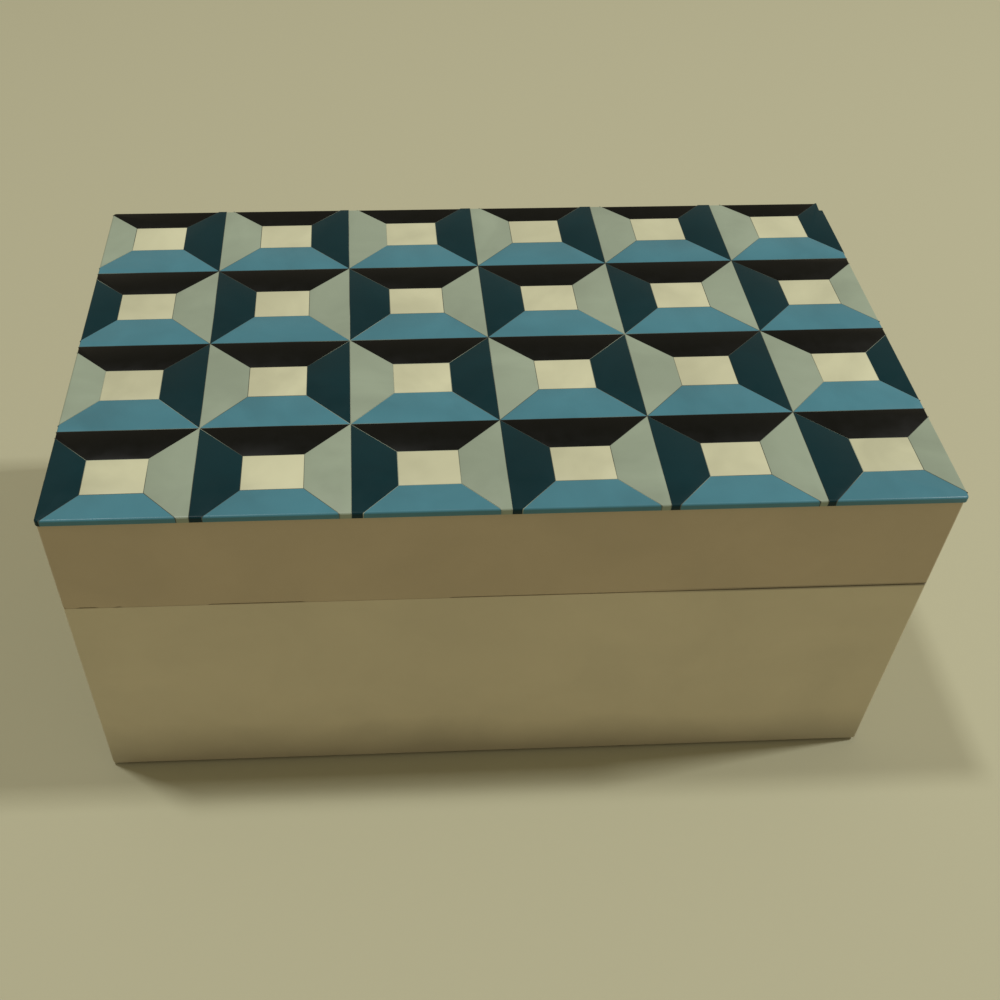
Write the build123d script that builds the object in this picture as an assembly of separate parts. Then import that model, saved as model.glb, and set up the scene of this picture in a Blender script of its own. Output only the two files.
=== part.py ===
from build123d import *
import os
from math import radians, tan

# Wooden trinket box: a lacquered wall on four sides, a hinged lid of the same wall, and a lid top
# covered with small polished tiles laid as rows of bevelled squares.
# Millimetres. +X runs along the front to the right, the front is at -Y and +Z is up.
# The origin is on the table, under the middle of the box.

# Outside of the box
box_length = 203.0
box_depth = 119.0
base_wall_height = 65.0
lid_wall_height = 28.2
seam_gap = 0.4
wall_thickness = 10.0
wall_corner_radius = 0.8
foot_edge_radius = 0.5

# Panels that close the base and the lid
floor_thickness = 5.0
floor_rebate = 5.0
lid_panel_thickness = 5.0
lid_panel_rebate = 5.0
panel_clearance = 0.1

# Splines glued across the mitred corners
spline_thickness = 2.0
spline_width = 8.0
spline_end_cover = 6.0

# Soft parts
felt_thickness = 0.8
felt_edge_inset = 1.5
felt_corner_radius = 2.0
lining_thickness = 1.5
lining_clearance = 0.3

# Tiles on the lid
tile_thickness = 1.6
tile_overhang = 1.0  # how far the tiles stand out past the front and back of the lid
tile_columns = 6
tile_rows = 4
left_trim = 2.3
right_trim = 2.7
back_trim = 2.4
front_trim = 2.3
side_band = 10.4
back_band = 9.8
front_band = 10.7
pattern_turn = 0.42  # degrees, because the pattern lies a little askew on the lid
tile_corner_radius = 1.0
tile_edge_radius = 0.5

# Butt hinges, let into bevelled back edges that stop the lid
lid_open_angle = 95.0
stop_slack_angle = 1.0
hinge_end_distance = 45.0
hinge_axis_inset = 2.5
hinge_length = 25.0
hinge_knuckles = 5
knuckle_radius = 1.6
knuckle_gap = 0.2
knuckle_clearance = 0.3
leaf_thickness = 1.0
leaf_reach = 6.7
leaf_clearance = 0.15
pin_radius = 0.8
pin_clearance = 0.05
pin_head_radius = 1.3
pin_head_thickness = 0.5

# Countersunk wood screws of the hinges
screw_spacing = 14.0
screw_shank_radius = 1.0
screw_head_radius = 1.9
screw_head_depth = 0.9
screw_length = 8.0
screw_tip_length = 1.5
screw_clearance = 0.05
screw_slot_width = 0.5
screw_slot_depth = 0.35

# Levels, from the table up
base_bottom = felt_thickness
base_rim = base_bottom + base_wall_height
lid_rim = base_rim + seam_gap
lid_wall_top = lid_rim + lid_wall_height
seam_middle = base_rim + seam_gap / 2
floor_top = base_bottom + floor_thickness
lid_panel_bottom = lid_wall_top - lid_panel_thickness

# Places shared by the walls and the hinges
hinge_axis_y = box_depth / 2 - hinge_axis_inset
hinge_middles = {
    "left": -box_length / 2 + hinge_end_distance,
    "right": box_length / 2 - hinge_end_distance,
}
stop_bevel_angle = (lid_open_angle + stop_slack_angle) / 2
screw_row_y = hinge_axis_y - (knuckle_radius + leaf_reach) / 2
BEYOND = 5.0  # how far a cutting block runs past the wood


def block(x, y, z):
    """A box between two values on each axis."""
    size = (x[1] - x[0], y[1] - y[0], z[1] - z[0])
    middle = ((x[0] + x[1]) / 2, (y[0] + y[1]) / 2, (z[0] + z[1]) / 2)
    return Pos(*middle) * Box(*size)


def prism(corners, bottom, height):
    """An upright prism on a plan outline."""
    return Pos(0, 0, bottom) * extrude(make_face(Polyline(*corners, close=True)), height)


def rounded_block(inset, bottom, top, radius):
    """A block inset from the box's outside, with rounded upright edges."""
    plan = RectangleRounded(box_length - 2 * inset, box_depth - 2 * inset, radius)
    return Pos(0, 0, bottom) * extrude(plan, top - bottom)


def inner_block(inset, bottom, top):
    """A square-cornered block inset from the box's outside."""
    half_x = box_length / 2 - inset
    half_y = box_depth / 2 - inset
    return block((-half_x, half_x), (-half_y, half_y), (bottom, top))


def cylinder_along_x(x, radius):
    """A cylinder on the hinge axis, between two values of X."""
    middle = ((x[0] + x[1]) / 2, hinge_axis_y, seam_middle)
    return Pos(*middle) * Rot(0, 90, 0) * Cylinder(radius, x[1] - x[0])


def mirrored_at_seam(shape):
    """The same shape on the other side of the seam."""
    return mirror(shape, about=Plane.XY.offset(seam_middle))


def mitre_wedges():
    """Plan outline of each wall, cut at 45 degrees from the corners."""
    x = box_length / 2
    y = box_depth / 2
    w = wall_thickness
    inner = {
        "front": [(x - w, -y + w), (-x + w, -y + w)],
        "back": [(-x + w, y - w), (x - w, y - w)],
        "left": [(-x + w, -y + w), (-x + w, y - w)],
        "right": [(x - w, y - w), (x - w, -y + w)],
    }
    outer = {
        "front": [(-x, -y), (x, -y)],
        "back": [(x, y), (-x, y)],
        "left": [(-x, y), (-x, -y)],
        "right": [(x, -y), (x, y)],
    }
    return {side: outer[side] + inner[side] for side in outer}


def corner_splines(bottom, top):
    """One upright strip across each mitred corner."""
    splines = []
    for sign_x in (-1, 1):
        for sign_y in (-1, 1):
            x = sign_x * (box_length - wall_thickness) / 2
            y = sign_y * (box_depth - wall_thickness) / 2
            turn = -45.0 * sign_x * sign_y
            strip = Box(spline_width, spline_thickness, top - bottom)
            splines.append(Pos(x, y, (bottom + top) / 2) * Rot(0, 0, turn) * strip)
    return splines


def back_bevel():
    """What the bevel takes off the rim of the base along the back."""
    run = hinge_axis_inset + BEYOND
    drop = run * tan(radians(stop_bevel_angle))
    outline = Plane.YZ * make_face(
        Polyline(
            (hinge_axis_y, seam_middle),
            (hinge_axis_y + run, seam_middle - drop),
            (hinge_axis_y + run, seam_middle),
            close=True,
        )
    )
    return extrude(outline, box_length / 2 + BEYOND, both=True)


def screw_places(middle):
    """The X of each screw in a leaf."""
    return (middle - screw_spacing / 2, middle + screw_spacing / 2)


def screw_body(x, clearance):
    """A countersunk screw of the base, wider by the clearance when it is used as its own hole."""
    leaf_top = base_rim
    head = Pos(x, screw_row_y, leaf_top - screw_head_depth / 2) * Cone(
        screw_shank_radius + clearance,
        screw_head_radius + clearance,
        screw_head_depth,
    )
    shank_length = screw_length - screw_head_depth - screw_tip_length
    shank_middle = leaf_top - screw_head_depth - shank_length / 2
    shank = Pos(x, screw_row_y, shank_middle) * Cylinder(screw_shank_radius + clearance, shank_length)
    tip_middle = leaf_top - screw_length + screw_tip_length / 2
    tip = Pos(x, screw_row_y, tip_middle) * Cone(clearance, screw_shank_radius + clearance, screw_tip_length)
    return head + shank + tip


def hinge_screws():
    """All the slotted screws that hold the leaves to the base."""
    screws = []
    for middle in hinge_middles.values():
        for x in screw_places(middle):
            slot = block(
                (x - screw_slot_width / 2, x + screw_slot_width / 2),
                (screw_row_y - screw_head_radius, screw_row_y + screw_head_radius),
                (base_rim - screw_slot_depth, base_rim + BEYOND),
            )
            screws.append(screw_body(x, 0.0) - slot)
    return screws


def hinge_recess(middle):
    """What the hinge needs out of the wood of the base: leaf mortise, knuckle slot and pilot holes."""
    half = hinge_length / 2 + leaf_clearance
    mortise = block(
        (middle - half, middle + half),
        (hinge_axis_y - leaf_reach - leaf_clearance, hinge_axis_y + BEYOND),
        (base_rim - leaf_thickness, base_rim + BEYOND),
    )
    half = hinge_length / 2 + pin_head_thickness + knuckle_clearance
    reach = knuckle_radius + knuckle_clearance
    knuckle_slot = block(
        (middle - half, middle + half),
        (hinge_axis_y - reach, hinge_axis_y + hinge_axis_inset + BEYOND),
        (seam_middle - reach, base_rim + BEYOND),
    )
    recess = mortise + knuckle_slot
    for x in screw_places(middle):
        recess += screw_body(x, screw_clearance)
    return recess


def hinge_leaf(middle, first_knuckle):
    """A leaf let into the rim of the base, with every second knuckle from the first one."""
    left = middle - hinge_length / 2
    pitch = hinge_length / hinge_knuckles
    leaf = block(
        (left, left + hinge_length),
        (hinge_axis_y - leaf_reach, hinge_axis_y),
        (base_rim - leaf_thickness, base_rim),
    )
    reach = knuckle_radius + knuckle_clearance
    for number in range(hinge_knuckles):
        start = left + number * pitch
        if number % 2 == first_knuckle % 2:
            barrel = (start + knuckle_gap / 2, start + pitch - knuckle_gap / 2)
            leaf += cylinder_along_x(barrel, knuckle_radius)
        else:
            leaf -= block(
                (start - knuckle_gap / 2, start + pitch + knuckle_gap / 2),
                (hinge_axis_y - reach, hinge_axis_y + BEYOND),
                (base_rim - leaf_thickness - BEYOND, base_rim + BEYOND),
            )
    leaf -= cylinder_along_x((left - BEYOND, left + hinge_length + BEYOND), pin_radius + pin_clearance)
    for x in screw_places(middle):
        leaf -= screw_body(x, screw_clearance)
    return leaf


def hinge_pin(middle):
    """A pin with a flattened head at each end."""
    left = middle - hinge_length / 2
    right = middle + hinge_length / 2
    pin = cylinder_along_x((left, right), pin_radius)
    pin += cylinder_along_x((left - pin_head_thickness, left), pin_head_radius)
    pin += cylinder_along_x((right, right + pin_head_thickness), pin_head_radius)
    return pin


def base_walls():
    """The four walls of the base, joined, before they are cut at the mitres."""
    walls = rounded_block(0.0, base_bottom, base_rim, wall_corner_radius)
    walls = fillet(walls.edges().group_by(Axis.Z)[0], foot_edge_radius)
    walls -= inner_block(wall_thickness, base_bottom - BEYOND, base_rim + BEYOND)
    walls -= inner_block(wall_thickness - floor_rebate, base_bottom - BEYOND, floor_top)
    walls -= back_bevel()
    for middle in hinge_middles.values():
        walls -= hinge_recess(middle)
    for spline in base_splines:
        walls -= spline
    return walls


def lid_walls():
    """The four walls of the lid, joined, before they are cut at the mitres."""
    walls = rounded_block(0.0, lid_rim, lid_wall_top, wall_corner_radius)
    walls -= inner_block(wall_thickness, lid_rim - BEYOND, lid_wall_top + BEYOND)
    walls -= inner_block(wall_thickness - lid_panel_rebate, lid_panel_bottom, lid_wall_top + BEYOND)
    walls -= mirrored_at_seam(back_bevel())
    for middle in hinge_middles.values():
        walls -= mirrored_at_seam(hinge_recess(middle))
    for spline in lid_splines:
        walls -= spline
    return walls


def tile_slab():
    """The whole layer of tiles, before it is divided."""
    plan = RectangleRounded(box_length, box_depth + 2 * tile_overhang, tile_corner_radius)
    slab = Pos(0, 0, lid_wall_top) * extrude(plan, tile_thickness)
    return fillet(slab.edges().group_by(Axis.Z)[-1], tile_edge_radius)


def cell_outlines(column, row):
    """Plan outline of each of the five tiles of a bevelled square, by its place in the square."""
    cell_width = (box_length + left_trim + right_trim) / tile_columns
    cell_depth = (box_depth + 2 * tile_overhang + back_trim + front_trim) / tile_rows
    left = -box_length / 2 - left_trim + column * cell_width
    right = left + cell_width
    back = box_depth / 2 + tile_overhang + back_trim - row * cell_depth
    front = back - cell_depth
    inner_left = left + side_band
    inner_right = right - side_band
    inner_back = back - back_band
    inner_front = front + front_band
    return {
        "middle": [
            (inner_left, inner_front),
            (inner_right, inner_front),
            (inner_right, inner_back),
            (inner_left, inner_back),
        ],
        "back": [(left, back), (right, back), (inner_right, inner_back), (inner_left, inner_back)],
        "front": [(left, front), (right, front), (inner_right, inner_front), (inner_left, inner_front)],
        "left": [(left, front), (left, back), (inner_left, inner_back), (inner_left, inner_front)],
        "right": [(right, front), (right, back), (inner_right, inner_back), (inner_right, inner_front)],
    }


def tile_colours(row):
    """The colour at each place: the pale and the dark side change places from row to row."""
    pale_side, dark_side = ("left", "right") if row % 2 == 0 else ("right", "left")
    return {"middle": "white", "back": "black", "front": "blue", pale_side: "grey", dark_side: "teal"}


def askew():
    """Turns the pattern about its own middle."""
    middle = Pos((right_trim - left_trim) / 2, (back_trim - front_trim) / 2, 0)
    return middle * Rot(0, 0, pattern_turn) * middle.inverse()


def tile_nodes():
    """The tiles of each colour in each row, numbered from the back."""
    slab = tile_slab()
    nodes = {}
    for row in range(tile_rows):
        for place, colour in tile_colours(row).items():
            tiles = []
            for column in range(tile_columns):
                outline = cell_outlines(column, row)[place]
                tiles += (slab & (askew() * prism(outline, lid_wall_top, tile_thickness))).solids()
            nodes[f"row_{row + 1}_{colour}_tiles"] = tiles
    return nodes


base_splines = corner_splines(floor_top + spline_end_cover, base_rim - spline_end_cover)
lid_splines = corner_splines(lid_rim + spline_end_cover, lid_panel_bottom - spline_end_cover / 2)

base_ring = base_walls()
lid_ring = lid_walls()

pieces = {}
for side, outline in mitre_wedges().items():
    pieces[f"base_{side}_board"] = base_ring & prism(outline, 0.0, base_rim + BEYOND)
    pieces[f"lid_{side}_rail"] = lid_ring & prism(outline, base_rim, lid_wall_height + BEYOND)
pieces["base_corner_splines"] = base_splines
pieces["lid_corner_splines"] = lid_splines
pieces["base_floor_panel"] = inner_block(
    wall_thickness - floor_rebate + panel_clearance, base_bottom, floor_top
)
pieces["lid_top_panel"] = inner_block(
    wall_thickness - lid_panel_rebate + panel_clearance, lid_panel_bottom, lid_wall_top
)
pieces["base_lining"] = inner_block(
    wall_thickness + lining_clearance, floor_top, floor_top + lining_thickness
)
pieces["underside_felt"] = rounded_block(felt_edge_inset, 0.0, felt_thickness, felt_corner_radius)
for name, middle in hinge_middles.items():
    pieces[f"{name}_hinge_base_leaf"] = hinge_leaf(middle, 0)
    pieces[f"{name}_hinge_lid_leaf"] = mirrored_at_seam(hinge_leaf(middle, 1))
    pieces[f"{name}_hinge_pin"] = hinge_pin(middle)
pieces["base_hinge_screws"] = hinge_screws()
pieces["lid_hinge_screws"] = [mirrored_at_seam(screw) for screw in hinge_screws()]
pieces.update(tile_nodes())

os.makedirs("parts", exist_ok=True)
for node, shape in pieces.items():
    shapes = shape if isinstance(shape, list) else [shape]
    solids = [solid for piece in shapes for solid in piece.solids()]
    export_step(Compound(solids) if len(solids) > 1 else solids[0], f"parts/{node}.step")
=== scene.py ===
"""Dresses the frame of a tiled trinket box: its inlaid lid, painted walls, wood, brass, velvet and felt."""

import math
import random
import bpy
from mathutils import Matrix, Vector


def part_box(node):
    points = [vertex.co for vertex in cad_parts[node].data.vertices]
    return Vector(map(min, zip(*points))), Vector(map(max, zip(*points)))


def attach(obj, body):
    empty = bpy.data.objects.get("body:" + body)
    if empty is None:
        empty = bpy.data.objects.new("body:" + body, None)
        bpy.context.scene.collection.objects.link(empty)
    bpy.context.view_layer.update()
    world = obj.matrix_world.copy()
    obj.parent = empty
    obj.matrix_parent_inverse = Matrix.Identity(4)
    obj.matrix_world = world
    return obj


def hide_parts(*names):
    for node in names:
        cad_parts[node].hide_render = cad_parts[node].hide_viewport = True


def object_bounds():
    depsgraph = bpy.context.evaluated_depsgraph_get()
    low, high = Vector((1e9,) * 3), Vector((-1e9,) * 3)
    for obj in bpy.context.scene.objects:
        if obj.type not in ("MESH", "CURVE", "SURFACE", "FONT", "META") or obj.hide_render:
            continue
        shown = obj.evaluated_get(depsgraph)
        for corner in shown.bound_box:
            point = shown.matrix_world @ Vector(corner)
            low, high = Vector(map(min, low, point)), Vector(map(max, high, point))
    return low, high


bl_info = {
    "name": "Tiled Trinket Box",
    "version": (1, 0, 0),
    "blender": (4, 5, 0),
    "location": "3D View > Sidebar > Trinket Box",
    "description": "Makes the tiles, finishes and linings of a trinket box on its frame",
    "category": "Object",
}

import bmesh
import bpy
from mathutils import Matrix, Vector

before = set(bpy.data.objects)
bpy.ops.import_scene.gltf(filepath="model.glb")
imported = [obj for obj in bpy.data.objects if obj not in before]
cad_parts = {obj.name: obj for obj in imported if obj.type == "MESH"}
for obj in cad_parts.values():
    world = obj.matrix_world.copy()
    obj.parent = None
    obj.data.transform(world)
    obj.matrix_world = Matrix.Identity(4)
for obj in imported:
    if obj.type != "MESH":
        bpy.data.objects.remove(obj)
cad_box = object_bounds()

TILE_COLOURS = ("white", "black", "blue", "grey", "teal")
JOINT = len(TILE_COLOURS)  # marks the faces of the joints, in place of a colour's number

TOUCH = 0.00001  # points closer than this count as touching
SAME = 0.000001  # points closer than this are the same point
LEVEL = 0.99  # least upward part of a level face's normal
UPRIGHT = 0.05  # most upward part of an upright face's normal
SHARP_ANGLE = math.radians(32)
FOLD_ANGLE = math.radians(60)
BEAD_GRID = (400, 3)
CLOTH_GRID = (64, 38)

# Clouds to a metre along X, Y and Z, for the figure of the grain and for its pores
LONG_WALL_GRAIN = ((3, 45, 60), (60, 2600, 2600))
SHORT_WALL_GRAIN = ((45, 3, 60), (2600, 60, 2600))
PANEL_GRAIN = ((2.5, 24, 40), (50, 2200, 2200))
SPLINE_GRAIN = ((30, 30, 8), (1800, 1800, 90))

# Stretches of the front, from X to X, where the seam stays open, and the share of the paint bead left there
OPEN_SEAM = (
    (-0.0985, -0.0932, 0),
    (-0.09, -0.0876, 0.1),
    (-0.0685, -0.0455, 0.2),
    (-0.0125, 0.046, 0.3),
    (0.042, 0.11, 0),
)


# Sizes and colours

class TrinketBoxSizes(bpy.types.PropertyGroup):
    """Sizes of the tiles, the paint, its painted shade and the linings"""

    tile_columns: bpy.props.IntProperty(
        name="Columns", description="Bevelled squares along the lid", default=6, min=1)
    tile_rows: bpy.props.IntProperty(
        name="Rows", description="Bevelled squares from the back of the lid to its front",
        default=4, min=1)
    left_trim: bpy.props.FloatProperty(
        name="Left trim", description="What the left edge cuts off the first column",
        default=0.0023, unit="LENGTH", precision=4)
    right_trim: bpy.props.FloatProperty(
        name="Right trim", description="What the right edge cuts off the last column",
        default=0.0027, unit="LENGTH", precision=4)
    back_trim: bpy.props.FloatProperty(
        name="Back trim", description="What the back edge cuts off the back row",
        default=0.0024, unit="LENGTH", precision=4)
    front_trim: bpy.props.FloatProperty(
        name="Front trim", description="What the front edge cuts off the front row",
        default=0.0023, unit="LENGTH", precision=4)
    side_band: bpy.props.FloatProperty(
        name="Side tiles", description="Width of the side tiles of a square",
        default=0.0104, unit="LENGTH", precision=4)
    back_band: bpy.props.FloatProperty(
        name="Back tiles", description="Width of the back tile of a square",
        default=0.0098, unit="LENGTH", precision=4)
    front_band: bpy.props.FloatProperty(
        name="Front tiles", description="Width of the front tile of a square",
        default=0.0107, unit="LENGTH", precision=4)
    pattern_turn: bpy.props.FloatProperty(
        name="Pattern turn", description="How far the pattern lies askew on the lid",
        default=math.radians(0.42), unit="ROTATION")
    corner_radius: bpy.props.FloatProperty(
        name="Corner radius", description="Rounding of the tiled top's corners, seen from above",
        default=0.001, unit="LENGTH", precision=4)
    edge_radius: bpy.props.FloatProperty(
        name="Edge radius", description="Rounding of the tiled top's outer edge",
        default=0.0005, unit="LENGTH", precision=4)
    joint_width: bpy.props.FloatProperty(
        name="Joint", description="Width of the filled joint between two tiles",
        default=0.00012, unit="LENGTH", precision=5)
    joint_depth: bpy.props.FloatProperty(
        name="Joint depth", description="How far the filler lies below the tiles",
        default=0.00008, unit="LENGTH", precision=5)
    arris: bpy.props.FloatProperty(
        name="Arris", description="Softened edge of each tile along its joints",
        default=0.00008, unit="LENGTH", precision=5)
    unevenness: bpy.props.FloatProperty(
        name="Unevenness", description="Most that a tile lies below the highest one",
        default=0.00005, unit="LENGTH", precision=5)
    chip_length: bpy.props.FloatProperty(
        name="Chip length", description="Length of the chipped edge at the back right corner",
        default=0.0038, unit="LENGTH", precision=4)
    chip_width: bpy.props.FloatProperty(
        name="Chip width", description="Width of the chipped edge at the back right corner",
        default=0.00095, unit="LENGTH", precision=5)
    chip_step: bpy.props.FloatProperty(
        name="Chip step", description="Length in which the chip steps in from the edge",
        default=0.0001, unit="LENGTH", precision=5)
    chip_taper: bpy.props.FloatProperty(
        name="Chip taper", description="Share of its width that the chip loses along its length",
        default=0.25)
    darkest_tile: bpy.props.FloatProperty(
        name="Darkest tile", description="Brightness of the darkest tile of a colour", default=0.965)
    lightest_tile: bpy.props.FloatProperty(
        name="Lightest tile", description="Brightness of the lightest tile of a colour", default=1.025)
    bead_height: bpy.props.FloatProperty(
        name="Paint bead", description="How far the paint runs down where it nearly closes the seam",
        default=0.00039, unit="LENGTH", precision=5)
    bead_fade: bpy.props.FloatProperty(
        name="Bead fade", description="Length in which the bead of paint runs out",
        default=0.0012, unit="LENGTH", precision=4)
    bead_width: bpy.props.FloatProperty(
        name="Bead width", description="Width of the bead of paint, from front to back",
        default=0.0008, unit="LENGTH", precision=4)
    bead_inset: bpy.props.FloatProperty(
        name="Bead inset", description="How far the bead stays in from the ends of the rail",
        default=0.0005, unit="LENGTH", precision=4)
    bead_setback: bpy.props.FloatProperty(
        name="Bead setback", description="How far the bead lies behind the face of the rail",
        default=0.00004, unit="LENGTH", precision=5)
    bead_root: bpy.props.FloatProperty(
        name="Bead root", description="How far the bead reaches up into the rail",
        default=0.00006, unit="LENGTH", precision=5)
    bead_rest: bpy.props.FloatProperty(
        name="Bead rest", description="Height of the bead inside the rail where it has run out",
        default=0.00003, unit="LENGTH", precision=5)
    paint_reach: bpy.props.FloatProperty(
        name="Paint reach", description="How far the paint reaches in from the walls' outer faces",
        default=0.0004, unit="LENGTH", precision=4)
    paint_wander: bpy.props.FloatProperty(
        name="Paint wander", description="How far the inner edge of the paint strays",
        default=0.0006, unit="LENGTH", precision=4)
    back_bevel: bpy.props.FloatProperty(
        name="Back bevel", description="Width of the painted bevels along the back edges",
        default=0.0025, unit="LENGTH", precision=4)
    # Painted shade that darkens the paint towards the foot of the walls
    foot_shade_low: bpy.props.FloatProperty(
        name="Darkest foot shade", description="Height up to which the foot of the walls is darkest",
        default=0.013, unit="LENGTH", precision=4)
    foot_shade_high: bpy.props.FloatProperty(
        name="End of foot shade", description="Height at which the painted shade of the foot ends",
        default=0.028, unit="LENGTH", precision=4)
    foot_shade_clouds: bpy.props.FloatProperty(
        name="Foot shade clouds", description="How far clouds move the edge of the foot shade up and down",
        default=0.022, unit="LENGTH", precision=4)
    # Painted shade in a band along the seam, on the right part of the walls
    seam_shade: bpy.props.FloatProperty(
        name="Seam shade", description="Half the width of the painted shade along the seam, where it is full",
        default=0.0004, unit="LENGTH", precision=4)
    seam_shade_start: bpy.props.FloatProperty(
        name="Start of seam shade", description="X where the painted shade along the seam starts",
        default=0.03, unit="LENGTH", precision=4)
    seam_shade_full: bpy.props.FloatProperty(
        name="Full seam shade", description="X from which the painted shade along the seam is full",
        default=0.06, unit="LENGTH", precision=4)
    nap_roll: bpy.props.FloatProperty(
        name="Rolled edge", description="Rounding of the linings' cut edges",
        default=0.0004, unit="LENGTH", precision=5)
    velvet_ripple: bpy.props.FloatProperty(
        name="Velvet ripple", description="Most that the velvet lies below its highest point",
        default=0.00008, unit="LENGTH", precision=5)
    felt_corner_radius: bpy.props.FloatProperty(
        name="Felt corners", description="Rounding of the felt's corners, seen from above",
        default=0.002, unit="LENGTH", precision=4)


class TrinketBoxColours(bpy.types.PropertyGroup):
    """Colours of the tiles, paint, wood, metal and cloth"""

    white: bpy.props.FloatVectorProperty(
        name="White tiles", description="Cream white glaze", subtype="COLOR",
        default=(0.505, 0.508, 0.34))
    black: bpy.props.FloatVectorProperty(
        name="Black tiles", description="Brownish black glaze", subtype="COLOR",
        default=(0.0018, 0.0022, 0.0014))
    blue: bpy.props.FloatVectorProperty(
        name="Blue tiles", description="Sky blue glaze", subtype="COLOR", default=(0.0515, 0.184, 0.235))
    grey: bpy.props.FloatVectorProperty(
        name="Grey tiles", description="Pale green grey glaze", subtype="COLOR",
        default=(0.26, 0.316, 0.237))
    teal: bpy.props.FloatVectorProperty(
        name="Teal tiles", description="Dark teal glaze", subtype="COLOR",
        default=(0.0022, 0.0228, 0.0288))
    filler: bpy.props.FloatVectorProperty(
        name="Joint filler", description="Filler in the joints", subtype="COLOR",
        default=(0.12, 0.135, 0.1))
    base_paint: bpy.props.FloatVectorProperty(
        name="Paint of the base", description="Cream paint on the base", subtype="COLOR",
        default=(0.58, 0.518, 0.355))
    # The lid's paint is a darker, yellower copy of the base's paint: painted shade, where the lid gets less
    # light bounced from the floor
    lid_paint: bpy.props.FloatVectorProperty(
        name="Paint of the lid", description="Cream paint on the lid, darker and yellower as painted shade", subtype="COLOR",
        default=(0.47, 0.387, 0.25))
    pale_wood: bpy.props.FloatVectorProperty(
        name="Pale wood", description="Early wood of the boards", subtype="COLOR",
        default=(0.46, 0.29, 0.145))
    dark_wood: bpy.props.FloatVectorProperty(
        name="Dark wood", description="Late wood and pores", subtype="COLOR",
        default=(0.27, 0.145, 0.062))
    brass: bpy.props.FloatVectorProperty(
        name="Brass", description="Brass of the hinges and screws", subtype="COLOR",
        default=(0.74, 0.52, 0.23))
    velvet: bpy.props.FloatVectorProperty(
        name="Velvet", description="Lining of the base", subtype="COLOR", default=(0.012, 0.04, 0.05))
    felt: bpy.props.FloatVectorProperty(
        name="Felt", description="Felt under the box", subtype="COLOR", default=(0.022, 0.03, 0.024))
    dark_gloss: bpy.props.FloatProperty(
        name="Gloss of dark tiles", description="How strongly the black and teal glazes mirror",
        default=0.14, min=0)
    pale_gloss: bpy.props.FloatProperty(
        name="Gloss of other tiles", description="How strongly the other glazes mirror",
        default=0.4, min=0)


class TrinketBoxStage(bpy.types.PropertyGroup):
    """Camera, lamps and floor"""

    camera_place: bpy.props.FloatVectorProperty(
        name="Camera", description="Place of the camera", subtype="TRANSLATION", unit="LENGTH",
        default=(-0.02706, -0.23819, 0.27886))
    camera_turn: bpy.props.FloatVectorProperty(
        name="Camera turn", description="Turn of the camera", subtype="EULER",
        default=[math.radians(angle) for angle in (44.776, -0.764, -2.793)])
    lens: bpy.props.FloatProperty(
        name="Lens", description="Focal length in millimetres on a 36 mm sensor", default=42.769, min=1)
    shift: bpy.props.FloatProperty(
        name="Shift", description="Sideways shift of the frame", default=0.0643, precision=4)
    floor_colour: bpy.props.FloatVectorProperty(
        name="Floor", description="Colour of the floor", subtype="COLOR", default=(0.42, 0.412, 0.275))
    floor_size: bpy.props.FloatProperty(
        name="Floor size", description="Length of the floor's sides", default=6, unit="LENGTH")
    right_lamp_place: bpy.props.FloatVectorProperty(
        name="Right lamp", description="Place of the lamp on the right", subtype="TRANSLATION",
        unit="LENGTH", default=(1.15, 0.07, 1.53))
    right_lamp_power: bpy.props.FloatProperty(
        name="Right lamp power", description="Power of the lamp on the right in watts",
        default=16.8, min=0)
    left_lamp_place: bpy.props.FloatVectorProperty(
        name="Left lamp", description="Place of the lamp on the left", subtype="TRANSLATION",
        unit="LENGTH", default=(-0.45, 0.15, 1.75))
    left_lamp_power: bpy.props.FloatProperty(
        name="Left lamp power", description="Power of the lamp on the left in watts",
        default=10.4, min=0)
    lamp_size: bpy.props.FloatProperty(
        name="Lamp size", description="Width of both lamps", default=0.13, unit="LENGTH")
    room_light: bpy.props.FloatVectorProperty(
        name="Room light", description="Colour and strength of the even light of the room",
        subtype="COLOR", default=(0.35, 0.305, 0.225))


# Materials

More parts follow.
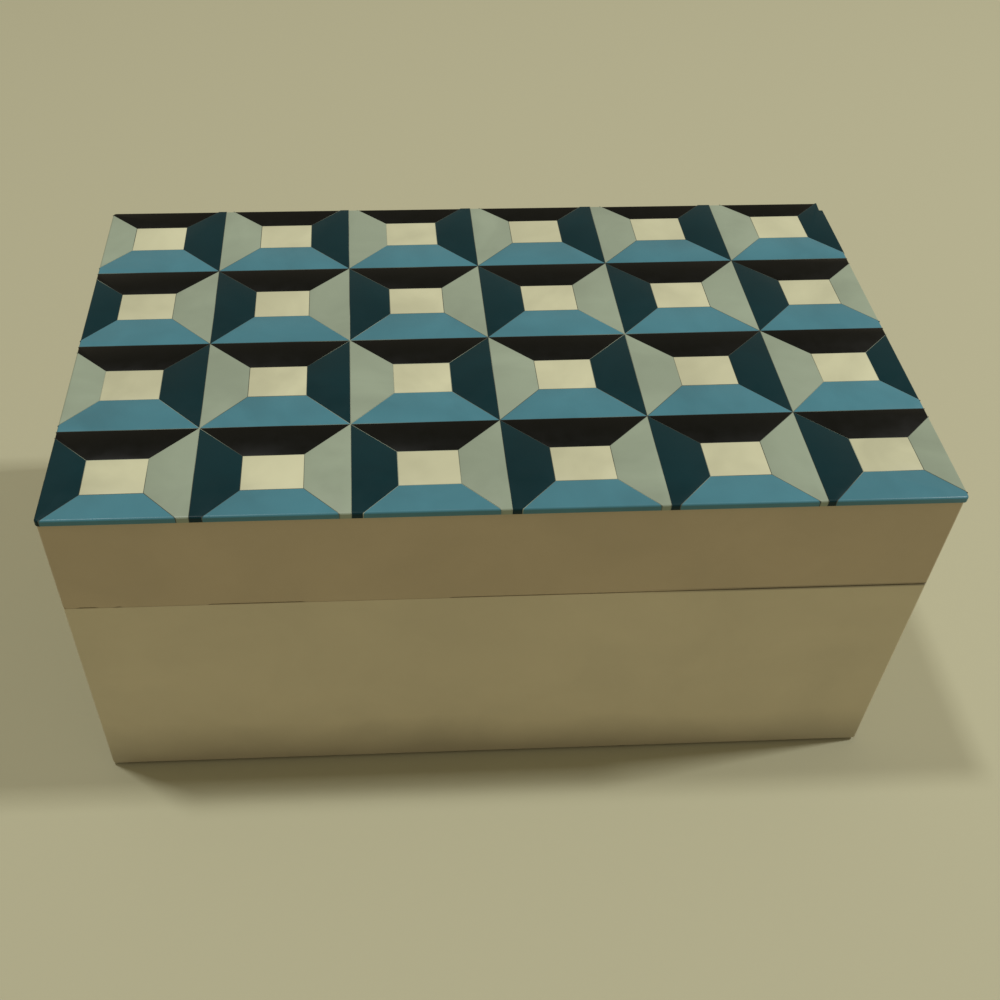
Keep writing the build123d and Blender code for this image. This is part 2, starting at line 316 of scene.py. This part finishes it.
class Finish:
    """A material and the nodes that it is built from"""

    def __init__(self, name, **surface):
        self.material = bpy.data.materials.new(name)
        self.material.use_nodes = True
        self.tree = self.material.node_tree
        self.shader = self.tree.nodes["Principled BSDF"]
        self.place = self.add("ShaderNodeTexCoord").outputs["Object"]
        for socket, value in surface.items():
            self.feed(self.shader, socket.replace("_", " "), value)

    def feed(self, node, socket, value):
        """Links the socket to another node's output, or sets its value."""
        if isinstance(value, bpy.types.NodeSocket):
            self.tree.links.new(value, node.inputs[socket])
        elif hasattr(value, "__len__") and len(value) == 3 and node.inputs[socket].type == "RGBA":
            node.inputs[socket].default_value = (*value, 1)
        else:
            node.inputs[socket].default_value = value

    def add(self, kind, feeds=(), **settings):
        """A new node with these settings and these (socket, value) feeds."""
        node = self.tree.nodes.new(kind)
        for name, value in settings.items():
            setattr(node, name, value)
        for socket, value in feeds:
            self.feed(node, socket, value)
        return node

    def stretched(self, scale):
        """The piece's own coordinates, stretched by scale."""
        feeds = (("Vector", self.place), ("Scale", scale))
        return self.add("ShaderNodeMapping", feeds).outputs["Vector"]

    def axes(self):
        """The piece's own X, Y and Z."""
        return self.add("ShaderNodeSeparateXYZ", (("Vector", self.place),)).outputs

    def noise(self, scale, detail=2, vector=None, roughness=0.5, distortion=0):
        """Clouds from 0 to 1, scale of them to a metre."""
        feeds = (("Vector", vector or self.place), ("Scale", scale), ("Detail", detail),
                 ("Roughness", roughness), ("Distortion", distortion))
        return self.add("ShaderNodeTexNoise", feeds).outputs["Fac"]

    def sum(self, first, second, operation="ADD"):
        """The two values added, or put together by another operation."""
        return self.add("ShaderNodeMath", ((0, first), (1, second)), operation=operation).outputs[0]

    def spread(self, value, low, high, to_low=0, to_high=1):
        """The value's range from low to high, mapped to another range and kept in it."""
        feeds = (("Value", value), ("From Min", low), ("From Max", high),
                 ("To Min", to_low), ("To Max", to_high))
        return self.add("ShaderNodeMapRange", feeds).outputs["Result"]

    def blend(self, amount, first, second):
        """The first colour, giving way to the second one by amount."""
        feeds = ((0, amount), (6, first), (7, second))
        return self.add("ShaderNodeMix", feeds, data_type="RGBA").outputs[2]

    def brightened(self, colour, value):
        """The colour made brighter or darker by value, where 1 leaves it alone."""
        feeds = (("Color", colour), ("Value", value))
        return self.add("ShaderNodeHueSaturation", feeds).outputs["Color"]

    def bump(self, height, distance, strength):
        """Raises the surface by height times distance, over any bump it has."""
        feeds = [("Height", height), ("Distance", distance), ("Strength", strength)]
        links = self.shader.inputs["Normal"].links
        if links:
            feeds.append(("Normal", links[0].from_socket))
        self.feed(self.shader, "Normal", self.add("ShaderNodeBump", feeds).outputs["Normal"])


def shades(colour, darker, lighter):
    """The colour darkened and lightened."""
    return [channel * darker for channel in colour], [channel * lighter for channel in colour]


def glaze(name, colour, gloss):
    """Satin tile glaze with soft clouds, a slight difference from tile to tile, and a little waviness."""
    finish = Finish(name, Specular_IOR_Level=gloss)
    dark, light = shades(colour, 0.9, 1.1)
    clouds = finish.noise(55, detail=3, distortion=0.6)
    mottled = finish.blend(finish.spread(clouds, 0.3, 0.7), dark, light)
    own_tone = finish.add("ShaderNodeAttribute", attribute_name="tile_tone").outputs["Fac"]
    finish.feed(finish.shader, "Base Color", finish.brightened(mottled, own_tone))
    smears = finish.noise(240, detail=4)
    finish.feed(finish.shader, "Roughness", finish.spread(smears, 0.3, 0.7, 0.3, 0.42))
    finish.bump(finish.noise(130, detail=2), 0.00006, 0.35)
    finish.bump(finish.noise(2600, detail=2), 0.00001, 0.3)
    return finish.material


def joint_filler(colours):
    """Fine sandy filler, clean in some joints and dirty in others."""
    finish = Finish("joint_filler", Roughness=0.85)
    dark, clean = shades(colours.filler, 0.45, 2.6)
    clean_patches = finish.spread(finish.noise(21, detail=2), 0.5, 0.6)
    sand = finish.spread(finish.noise(900, detail=4), 0.3, 0.7, 0.75, 1.0)
    clean_share = finish.sum(sand, clean_patches, "MULTIPLY")
    finish.feed(finish.shader, "Base Color", finish.blend(clean_share, dark, clean))
    finish.bump(finish.noise(4000, detail=3), 0.00003, 0.6)
    return finish.material


def grain(finish, colours, scale, fine_scale):
    """Colour and height of straight grain: its figure, growth rings and pores, drawn out along the board."""
    board = finish.stretched(scale)
    figure = finish.noise(1, detail=3, vector=board, distortion=0.4)
    rings = finish.noise(7, detail=2, vector=board, distortion=1.2)
    pores = finish.noise(1, detail=5, vector=finish.stretched(fine_scale), roughness=0.7)
    tone = finish.sum(finish.sum(figure, 0.35, "MULTIPLY"), finish.sum(rings, 0.65, "MULTIPLY"))
    colour = finish.blend(finish.spread(tone, 0.35, 0.65), colours.dark_wood, colours.pale_wood)
    dark_pores = finish.brightened(colour, finish.spread(pores, 0.32, 0.5, 0.7, 1.0))
    return dark_pores, finish.sum(pores, finish.sum(rings, 0.5, "MULTIPLY"))


def sealed_wood(name, colours, grain_scales):
    """Bare wood under a thin seal."""
    finish = Finish(name)
    colour, height = grain(finish, colours, *grain_scales)
    finish.feed(finish.shader, "Base Color", colour)
    finish.feed(finish.shader, "Roughness", finish.spread(height, 0.4, 1.1, 0.62, 0.45))
    finish.bump(height, 0.00008, 0.5)
    return finish.material


def painted_part(finish, sizes):
    """1 where the walls are painted, on their outer faces and the bevels at the back, and 0 elsewhere."""
    right_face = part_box("base_right_board")[1].x
    front_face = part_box("base_front_board")[0].y
    back_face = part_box("base_back_board")[1].y
    x, y, _ = finish.axes()
    across = finish.sum(x, 0, "ABSOLUTE")
    wander = finish.sum(finish.noise(180, detail=3), sizes.paint_wander, "MULTIPLY")
    ends = finish.sum(finish.sum(across, wander), right_face - sizes.paint_reach, "GREATER_THAN")
    front = finish.sum(finish.sum(y, wander, "SUBTRACT"), front_face + sizes.paint_reach, "LESS_THAN")
    back = finish.sum(finish.sum(y, wander), back_face - sizes.back_bevel, "GREATER_THAN")
    return finish.sum(finish.sum(ends, front, "MAXIMUM"), back, "MAXIMUM")


def painted_shade_factor(finish, sizes):
    """Brightness that painted shade leaves to the paint. It is lower at the foot and at the right of the
    seam.
    """
    seam = (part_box("base_front_board")[1].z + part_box("lid_front_rail")[0].z) / 2
    x, _, z = finish.axes()
    # Painted shade: the paint gets darker towards the foot of the walls, with a cloudy upper edge
    clouds = finish.sum(finish.noise(24, detail=4), sizes.foot_shade_clouds, "MULTIPLY")
    foot = finish.spread(finish.sum(z, clouds), sizes.foot_shade_low, sizes.foot_shade_high, 0.7, 1.0)
    # Painted shade in a band along the seam, full on the right part of the walls
    from_seam = finish.sum(finish.sum(z, seam, "SUBTRACT"), 0, "ABSOLUTE")
    beside_shade = finish.spread(from_seam, sizes.seam_shade, 2 * sizes.seam_shade)
    before_shade = finish.spread(x, sizes.seam_shade_start, sizes.seam_shade_full, 1, 0)
    along_seam = finish.spread(finish.sum(beside_shade, before_shade, "MAXIMUM"), 0, 1, 0.6, 1.0)
    return finish.sum(foot, along_seam, "MULTIPLY")


def painted_wall(name, paint_colour, colours, sizes, grain_scales):
    """Cream paint outside, darkened by painted shade at the foot and along the right of the seam, and sealed
    wood inside.
    """
    finish = Finish(name)
    wood, wood_height = grain(finish, colours, *grain_scales)
    painted = painted_part(finish, sizes)
    dark, light = shades(paint_colour, 0.95, 1.04)
    clouds = finish.noise(38, detail=4, distortion=0.5)
    unshaded_paint = finish.blend(finish.spread(clouds, 0.3, 0.7), dark, light)
    # The paint is darkened by painted shade at the foot and along the right of the seam
    paint = finish.brightened(unshaded_paint, painted_shade_factor(finish, sizes))
    finish.feed(finish.shader, "Base Color", finish.blend(painted, wood, paint))

    wood_roughness = finish.spread(wood_height, 0.4, 1.1, 0.62, 0.45)
    paint_roughness = finish.spread(finish.noise(300, detail=3), 0.3, 0.7, 0.42, 0.55)
    feeds = ((0, painted), (2, wood_roughness), (3, paint_roughness))
    roughness = finish.add("ShaderNodeMix", feeds, data_type="FLOAT").outputs[0]
    finish.feed(finish.shader, "Roughness", roughness)
    grain_left = finish.spread(painted, 0, 1, 1, 0.25)
    finish.bump(finish.sum(wood_height, grain_left, "MULTIPLY"), 0.00008, 0.5)
    finish.bump(finish.noise(700, detail=3), 0.00003, 0.35)
    return finish.material


def satin_brass(colours):
    """Brass with fine brush marks and a little tarnish."""
    finish = Finish("satin_brass", Metallic=1.0)
    dark, light = shades(colours.brass, 0.72, 1.05)
    tarnish = finish.spread(finish.noise(420, detail=4), 0.3, 0.7)
    finish.feed(finish.shader, "Base Color", finish.blend(tarnish, dark, light))
    marks = finish.noise(1, detail=3, vector=finish.stretched((300, 6000, 6000)))
    finish.feed(finish.shader, "Roughness", finish.spread(marks, 0.3, 0.7, 0.24, 0.4))
    finish.bump(marks, 0.00001, 0.3)
    return finish.material


def pile(name, colour, sheen, tuft_scale, depth):
    """Cloth with a short soft pile."""
    finish = Finish(
        name, Roughness=0.95, Sheen_Weight=sheen, Sheen_Roughness=0.4, Specular_IOR_Level=0.2)
    dark, light = shades(colour, 0.7, 1.5)
    brushed = finish.noise(30, detail=3, distortion=0.8)
    tufts = finish.noise(tuft_scale, detail=4, roughness=0.7)
    tone = finish.sum(finish.sum(brushed, 0.5, "MULTIPLY"), finish.sum(tufts, 0.5, "MULTIPLY"))
    finish.feed(finish.shader, "Base Color", finish.blend(finish.spread(tone, 0.35, 0.65), dark, light))
    finish.bump(tufts, depth, 0.8)
    return finish.material


# Pieces

def put_in_scene(name, shape, body, materials):
    """Makes an object of the shape and lets it ride on the body."""
    mesh = bpy.data.meshes.new(name)
    bmesh.ops.recalc_face_normals(shape, faces=shape.faces)
    shape.to_mesh(mesh)
    shape.free()
    for material in materials:
        mesh.materials.append(material)
    mesh.polygons.foreach_set("use_smooth", [True] * len(mesh.polygons))
    mesh.set_sharp_from_angle(angle=SHARP_ANGLE)
    piece = bpy.data.objects.new(name, mesh)
    bpy.context.scene.collection.objects.link(piece)
    if body:
        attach(piece, body)
    return piece


def paint_nodes(names, material):
    """Gives the frame's own nodes a material."""
    for name in names:
        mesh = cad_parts[name].data
        for slot in range(len(mesh.materials)):
            mesh.materials[slot] = material
        if not mesh.materials:
            mesh.materials.append(material)


def whole(shape):
    """All the vertices, edges and faces of the shape."""
    return shape.verts[:] + shape.edges[:] + shape.faces[:]


def trim(shape, point, outward):
    """Cuts off what lies outward of a plane."""
    bmesh.ops.bisect_plane(
        shape, geom=whole(shape), dist=SAME / 10, plane_co=point, plane_no=outward, clear_outer=True)


def top_corners():
    """Lowest and highest corner of the tiled top, from the frame's tiles."""
    boxes = [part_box(name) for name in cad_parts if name.endswith("_tiles")]
    low = Vector([min(box[0][axis] for box in boxes) for axis in range(3)])
    high = Vector([max(box[1][axis] for box in boxes) for axis in range(3)])
    return low, high


def trim_to_lid(shape, low, high, radius):
    """Cuts the shape to the lid's outline, with rounded corners."""
    for outward in ((-1, 0, 0), (0, -1, 0)):
        trim(shape, low, outward)
    for outward in ((1, 0, 0), (0, 1, 0)):
        trim(shape, high, outward)
    for x, side in ((low.x, -1), (high.x, 1)):
        for y, end in ((low.y, -1), (high.y, 1)):
            centre = Vector((x - side * radius, y - end * radius, 0))
            for angle in (math.radians(22.5), math.radians(45), math.radians(67.5)):
                outward = Vector((side * math.cos(angle), end * math.sin(angle), 0))
                trim(shape, centre + outward * radius, outward)


def on_outline(point, low, high, radius, reach):
    """Whether the point is within reach of the lid's outline."""
    middle = (low + high) / 2
    across = abs(point.x - middle.x) - (high.x - middle.x - radius)
    along = abs(point.y - middle.y) - (high.y - middle.y - radius)
    outside = math.hypot(max(across, 0), max(along, 0)) + min(max(across, along), 0)
    return outside - radius > -reach


def tile_pattern(sizes, chance):
    """The whole top as flat faces. Each keeps its row, its colour, its tone and how low its tile lies."""
    low, high = top_corners()
    left, right = low.x - sizes.left_trim, high.x + sizes.right_trim
    front, back = low.y - sizes.front_trim, high.y + sizes.back_trim
    middle = Vector(((left + right) / 2, (front + back) / 2, low.z))
    cell_width = (right - left) / sizes.tile_columns
    cell_depth = (back - front) / sizes.tile_rows
    pattern = bmesh.new()
    row_of = pattern.faces.layers.int.new("row")
    colour_of = pattern.faces.layers.int.new("colour")
    tone_of = pattern.faces.layers.float.new("tile_tone")
    drop_of = pattern.faces.layers.float.new("drop")
    bmesh.ops.create_grid(pattern, x_segments=sizes.tile_columns, y_segments=sizes.tile_rows, size=0.5)
    bmesh.ops.scale(pattern, vec=(right - left, back - front, 1), verts=pattern.verts)
    bmesh.ops.translate(pattern, vec=middle, verts=pattern.verts)

    inner = pattern.faces[:]
    bmesh.ops.inset_individual(pattern, faces=inner, thickness=sizes.side_band, use_even_offset=True)
    for face in inner:
        centre = face.calc_center_median()
        for vert in face.verts:
            vert.co.y += (sizes.side_band - sizes.back_band) if vert.co.y > centre.y else (
                sizes.front_band - sizes.side_band)
    for face in pattern.faces:
        centre = face.calc_center_median()
        column = int((centre.x - left) / cell_width)
        row = int((back - centre.y) / cell_depth)
        across = (centre.x - left) / cell_width - column - 0.5
        along = (back - centre.y) / cell_depth - row - 0.5
        if face in inner:
            name = "white"
        elif abs(along) > abs(across):
            name = "black" if along < 0 else "blue"
        else:
            name = "grey" if (across < 0) == (row % 2 == 0) else "teal"
        face[row_of] = row
        face[colour_of] = TILE_COLOURS.index(name)
        face[tone_of] = chance.uniform(sizes.darkest_tile, sizes.lightest_tile)
        face[drop_of] = chance.uniform(0, sizes.unevenness)
    bmesh.ops.rotate(
        pattern, cent=middle, matrix=Matrix.Rotation(sizes.pattern_turn, 3, "Z"), verts=pattern.verts)
    trim_to_lid(pattern, low, high, sizes.corner_radius)
    chip_corner(pattern, high, sizes)

    rims = bmesh.ops.inset_individual(
        pattern, faces=pattern.faces[:], thickness=sizes.joint_width / 2, use_even_offset=True)["faces"]
    for face in rims:
        face[colour_of] = JOINT
    return pattern


def chip_corner(pattern, high, sizes):
    """Breaks a sliver off the edge at the back right corner."""
    start = high.y - sizes.chip_length
    side = [edge for edge in pattern.edges if edge.is_boundary
            and all(abs(vert.co.x - high.x) < TOUCH for vert in edge.verts)
            and max(vert.co.y for vert in edge.verts) > start > min(vert.co.y for vert in edge.verts)]
    new_verts = [part for part in bmesh.ops.bisect_edges(pattern, edges=side, cuts=2)["geom_split"]
                 if isinstance(part, bmesh.types.BMVert)]
    new_verts.sort(key=lambda vert: vert.co.y)
    for vert, y in zip(new_verts, (start - sizes.chip_step, start)):
        vert.co.y = y
    for vert in pattern.verts:
        if vert.co.y > start - TOUCH and vert.co.x > high.x - sizes.chip_width:
            narrowing = sizes.chip_taper * (vert.co.y - start) / sizes.chip_length
            vert.co.x = high.x - sizes.chip_width * (1 - narrowing)
    bmesh.ops.remove_doubles(pattern, verts=pattern.verts, dist=SAME)


def raise_tiles(pattern, row, colour, sizes):
    """The tiles of one colour in one row, with rounded outer edges and softened joints."""
    low, high = top_corners()
    tiles = pattern.copy()
    row_of = tiles.faces.layers.int["row"]
    colour_of = tiles.faces.layers.int["colour"]
    drop_of = tiles.faces.layers.float["drop"]
    keep_faces(tiles, lambda face: (face[row_of], face[colour_of]) == (row, colour))
    raised = bmesh.ops.extrude_face_region(tiles, geom=tiles.faces[:])["geom"]
    tops = [part for part in raised if isinstance(part, bmesh.types.BMFace)]
    for face in tops:
        bmesh.ops.translate(tiles, vec=(0, 0, high.z - low.z - face[drop_of]), verts=face.verts)
    bmesh.ops.recalc_face_normals(tiles, faces=tiles.faces)

    outer = [edge for face in tops for edge in face.edges
             if all(on_outline(vert.co, low, high, sizes.corner_radius, sizes.joint_width)
                    or in_chip(vert.co, high, sizes) for vert in edge.verts)]
    if outer:
        bmesh.ops.bevel(
            tiles, geom=outer, offset=sizes.edge_radius, offset_type="OFFSET", affect="EDGES",
            segments=5, profile=0.5, material=-1, clamp_overlap=True)
    level = {face for face in tiles.faces if face.normal.z > LEVEL}
    arrises = [edge for edge in tiles.edges if len(edge.link_faces) == 2
               and sum(face in level for face in edge.link_faces) == 1
               and min(face.normal.z for face in edge.link_faces) < UPRIGHT]
    bmesh.ops.bevel(
        tiles, geom=arrises, offset=sizes.arris, offset_type="OFFSET", affect="EDGES",
        segments=2, profile=0.5, material=-1, clamp_overlap=True)
    return tiles


def keep_faces(shape, wanted):
    """Takes away the faces that aren't wanted, and the vertices that only they had."""
    bmesh.ops.delete(shape, geom=[face for face in shape.faces if not wanted(face)], context="FACES")
    bmesh.ops.delete(shape, geom=[vert for vert in shape.verts if not vert.link_faces], context="VERTS")


def in_chip(point, high, sizes):
    """Whether the point lies on the chipped edge."""
    return (point.y > high.y - sizes.chip_length - 2 * sizes.chip_step
            and point.x > high.x - sizes.chip_width - sizes.joint_width)


def fill_joints(pattern, sizes):
    """The filler between the tiles: a net a little below their tops."""
    low, high = top_corners()
    net = pattern.copy()
    colour_of = net.faces.layers.int["colour"]
    outline = {face for face in net.faces if any(edge.is_boundary for edge in face.edges)}
    keep_faces(net, lambda face: face[colour_of] == JOINT and face not in outline)
    raised = bmesh.ops.extrude_face_region(net, geom=net.faces[:])["geom"]
    bmesh.ops.translate(
        net, vec=(0, 0, high.z - low.z - sizes.joint_depth),
        verts=[part for part in raised if isinstance(part, bmesh.types.BMVert)])
    return net


class TRINKETBOX_OT_lay_tiles(bpy.types.Operator):
    """Lays the tiles of the lid and fills their joints"""

    bl_idname = "trinketbox.lay_tiles"
    bl_label = "Lay the tiles"

    def execute(self, context):
        sizes = context.scene.trinket_box_sizes
        colours = context.scene.trinket_box_colours
        chance = random.Random(11)
        pattern = tile_pattern(sizes, chance)
        for number, colour in enumerate(TILE_COLOURS):
            gloss = colours.dark_gloss if colour in ("black", "teal") else colours.pale_gloss
            material = glaze(f"{colour}_glaze", getattr(colours, colour), gloss)
            for row in range(sizes.tile_rows):
                node = f"row_{row + 1}_{colour}_tiles"
                tiles = raise_tiles(pattern, row, number, sizes)
                piece = put_in_scene(f"{node}_laid", tiles, "lid", [material])
                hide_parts(node)
        put_in_scene("tile_joint_filler", fill_joints(pattern, sizes), "lid", [joint_filler(colours)])
        pattern.free()
        return {"FINISHED"}


def paint_bead(sizes, chance):
    """Paint that has run along the lower front edge of the lid and partly closes the seam."""
    low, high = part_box("lid_front_rail")
    length = high.x - low.x - 2 * sizes.bead_inset
    middle_y = low.y + sizes.bead_setback + sizes.bead_width / 2
    bead = bmesh.new()
    bmesh.ops.create_grid(bead, x_segments=BEAD_GRID[0], y_segments=BEAD_GRID[1], size=0.5)
    bmesh.ops.scale(bead, vec=(length, sizes.bead_width, 1), verts=bead.verts)
    bmesh.ops.translate(
        bead, vec=((low.x + high.x) / 2, middle_y, low.z + sizes.bead_root), verts=bead.verts)
    run = bmesh.ops.extrude_face_region(bead, geom=bead.faces[:])["geom"]
    for vert in [part for part in run if isinstance(part, bmesh.types.BMVert)]:
        share = 1
        for start, end, left_over in OPEN_SEAM:
            inside = min(1, max(0, min(vert.co.x - start, end - vert.co.x) / sizes.bead_fade))
            share = min(share, 1 - inside * (1 - left_over))
        vert.co.z -= sizes.bead_rest + share * sizes.bead_height * chance.uniform(0.95, 1)
    return bead


class TRINKETBOX_OT_paint_walls(bpy.types.Operator):
    """Paints the walls outside and seals their wood inside"""

    bl_idname = "trinketbox.paint_walls"
    bl_label = "Paint the walls"

    def execute(self, context):
        sizes = context.scene.trinket_box_sizes
        colours = context.scene.trinket_box_colours
        # The lid's paint is a darker copy of the base's paint: painted shade
        parts = (("base", "board", colours.base_paint), ("lid", "rail", colours.lid_paint))
        for part, kind, paint in parts:
            long_walls = painted_wall(f"{part}_long_{kind}s", paint, colours, sizes, LONG_WALL_GRAIN)
            short_walls = painted_wall(f"{part}_short_{kind}s", paint, colours, sizes, SHORT_WALL_GRAIN)
            paint_nodes([f"{part}_front_{kind}", f"{part}_back_{kind}"], long_walls)
            paint_nodes([f"{part}_left_{kind}", f"{part}_right_{kind}"], short_walls)
        bead = put_in_scene("lid_paint_bead", paint_bead(sizes, random.Random(5)), "lid", [long_walls])
        panels = sealed_wood("sealed_panels", colours, PANEL_GRAIN)
        splines = sealed_wood("spline_wood", colours, SPLINE_GRAIN)
        paint_nodes(["base_floor_panel", "lid_top_panel"], panels)
        paint_nodes(["base_corner_splines", "lid_corner_splines"], splines)
        return {"FINISHED"}


class TRINKETBOX_OT_polish_hinges(bpy.types.Operator):
    """Gives the hinges, pins and screws their brass"""

    bl_idname = "trinketbox.polish_hinges"
    bl_label = "Polish the hinges"

    def execute(self, context):
        brass = satin_brass(context.scene.trinket_box_colours)
        paint_nodes([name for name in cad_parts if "hinge" in name], brass)
        return {"FINISHED"}


def cloth_sheet(node, radius, sizes, ripple, chance):
    """A cut sheet of cloth in the place of a node, with soft edges and a face that is uneven by ripple."""
    low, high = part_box(node)
    sheet = bmesh.new()
    bmesh.ops.create_grid(sheet, x_segments=CLOTH_GRID[0], y_segments=CLOTH_GRID[1], size=0.5)
    bmesh.ops.scale(sheet, vec=(high.x - low.x, high.y - low.y, 1), verts=sheet.verts)
    bmesh.ops.translate(
        sheet, vec=((low.x + high.x) / 2, (low.y + high.y) / 2, low.z), verts=sheet.verts)
    if radius:
        trim_to_lid(sheet, low, high, radius)
    raised = bmesh.ops.extrude_face_region(sheet, geom=sheet.faces[:])["geom"]
    tops = [part for part in raised if isinstance(part, bmesh.types.BMVert)]
    bmesh.ops.translate(sheet, vec=(0, 0, high.z - low.z), verts=tops)
    bmesh.ops.recalc_face_normals(sheet, faces=sheet.faces)
    rim = [edge for edge in sheet.edges
           if len(edge.link_faces) == 2 and edge.calc_face_angle(0) > FOLD_ANGLE
           and abs(edge.verts[0].co.z - edge.verts[1].co.z) < SAME]
    roll = min(sizes.nap_roll, (high.z - low.z) * 0.4)
    bmesh.ops.bevel(
        sheet, geom=rim, offset=roll, offset_type="OFFSET", affect="EDGES",
        segments=3, profile=0.5, material=-1, clamp_overlap=True)
    for vert in sheet.verts:
        if vert.co.z > high.z - SAME:
            vert.co.z -= chance.uniform(0, ripple)
    return sheet


class TRINKETBOX_OT_line_base(bpy.types.Operator):
    """Lays the velvet on the floor of the base and glues the felt under it"""

    bl_idname = "trinketbox.line_base"
    bl_label = "Line the base"

    def execute(self, context):
        sizes = context.scene.trinket_box_sizes
        colours = context.scene.trinket_box_colours
        chance = random.Random(23)
        velvet = put_in_scene(
            "velvet_sheet", cloth_sheet("base_lining", 0, sizes, sizes.velvet_ripple, chance), "base",
            [pile("velvet_pile", colours.velvet, 0.6, 2400, 0.0003)])
        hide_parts("base_lining")
        felt = put_in_scene(
            "felt_sheet", cloth_sheet("underside_felt", sizes.felt_corner_radius, sizes, 0, chance), "base",
            [pile("felt_pile", colours.felt, 0.2, 1500, 0.0002)])
        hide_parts("underside_felt")
        return {"FINISHED"}


def hang_lamp(name, place, power, size):
    """Hangs a soft square lamp that faces the box."""
    lamp = bpy.data.lights.new(name, "AREA")
    lamp.shape = "SQUARE"
    lamp.size = size
    lamp.energy = power
    hung = bpy.data.objects.new(name, lamp)
    hung.location = place
    towards_box = (cad_box[0] + cad_box[1]) / 2 - Vector(place)
    hung.rotation_euler = towards_box.to_track_quat("-Z", "Y").to_euler()
    bpy.context.scene.collection.objects.link(hung)


class TRINKETBOX_OT_set_stage(bpy.types.Operator):
    """Lays the floor, hangs the lamps and sets up the camera"""

    bl_idname = "trinketbox.set_stage"
    bl_label = "Set the stage"

    def execute(self, context):
        stage = context.scene.trinket_box_stage
        floor = bmesh.new()
        bmesh.ops.create_grid(floor, x_segments=1, y_segments=1, size=stage.floor_size / 2)
        finish = Finish("pale_floor", Roughness=0.8, Base_Color=stage.floor_colour)
        put_in_scene("floor", floor, None, [finish.material])

        hang_lamp("right_lamp", stage.right_lamp_place, stage.right_lamp_power, stage.lamp_size)
        hang_lamp("left_lamp", stage.left_lamp_place, stage.left_lamp_power, stage.lamp_size)

        world = bpy.data.worlds.new("room")
        world.use_nodes = True
        background = world.node_tree.nodes["Background"]
        background.inputs["Color"].default_value = (*stage.room_light, 1)
        context.scene.world = world

        camera = bpy.data.cameras.new("camera")
        camera.lens = stage.lens
        camera.sensor_width = 36
        camera.shift_x = stage.shift
        camera_object = bpy.data.objects.new("camera", camera)
        camera_object.location = stage.camera_place
        camera_object.rotation_euler = stage.camera_turn
        context.scene.collection.objects.link(camera_object)
        context.scene.camera = camera_object
        context.scene.view_settings.view_transform = "Standard"
        return {"FINISHED"}


class TRINKETBOX_PT_maker(bpy.types.Panel):
    """Sizes, colours and steps of the trinket box"""

    bl_label = "Trinket Box"
    bl_idname = "TRINKETBOX_PT_maker"
    bl_space_type = "VIEW_3D"
    bl_region_type = "UI"
    bl_category = "Trinket Box"

    def draw(self, context):
        for group in (
                context.scene.trinket_box_sizes, context.scene.trinket_box_colours,
                context.scene.trinket_box_stage):
            box = self.layout.box()
            for name in group.bl_rna.properties.keys():
                if name not in ("rna_type", "name"):
                    box.prop(group, name)
        for step in STEPS:
            self.layout.operator(step.bl_idname)


STEPS = (
    TRINKETBOX_OT_set_stage,
    TRINKETBOX_OT_paint_walls,
    TRINKETBOX_OT_polish_hinges,
    TRINKETBOX_OT_lay_tiles,
    TRINKETBOX_OT_line_base,
)
CLASSES = (TrinketBoxSizes, TrinketBoxColours, TrinketBoxStage, *STEPS, TRINKETBOX_PT_maker)


def register():
    for made in CLASSES:
        bpy.utils.register_class(made)
    bpy.types.Scene.trinket_box_sizes = bpy.props.PointerProperty(type=TrinketBoxSizes)
    bpy.types.Scene.trinket_box_colours = bpy.props.PointerProperty(type=TrinketBoxColours)
    bpy.types.Scene.trinket_box_stage = bpy.props.PointerProperty(type=TrinketBoxStage)


def unregister():
    del bpy.types.Scene.trinket_box_stage
    del bpy.types.Scene.trinket_box_colours
    del bpy.types.Scene.trinket_box_sizes
    for made in reversed(CLASSES):
        bpy.utils.unregister_class(made)


def main():
    register()
    bpy.ops.trinketbox.set_stage()
    bpy.ops.trinketbox.paint_walls()
    bpy.ops.trinketbox.polish_hinges()
    bpy.ops.trinketbox.lay_tiles()
    bpy.ops.trinketbox.line_base()


if __name__ == "__main__":
    main()
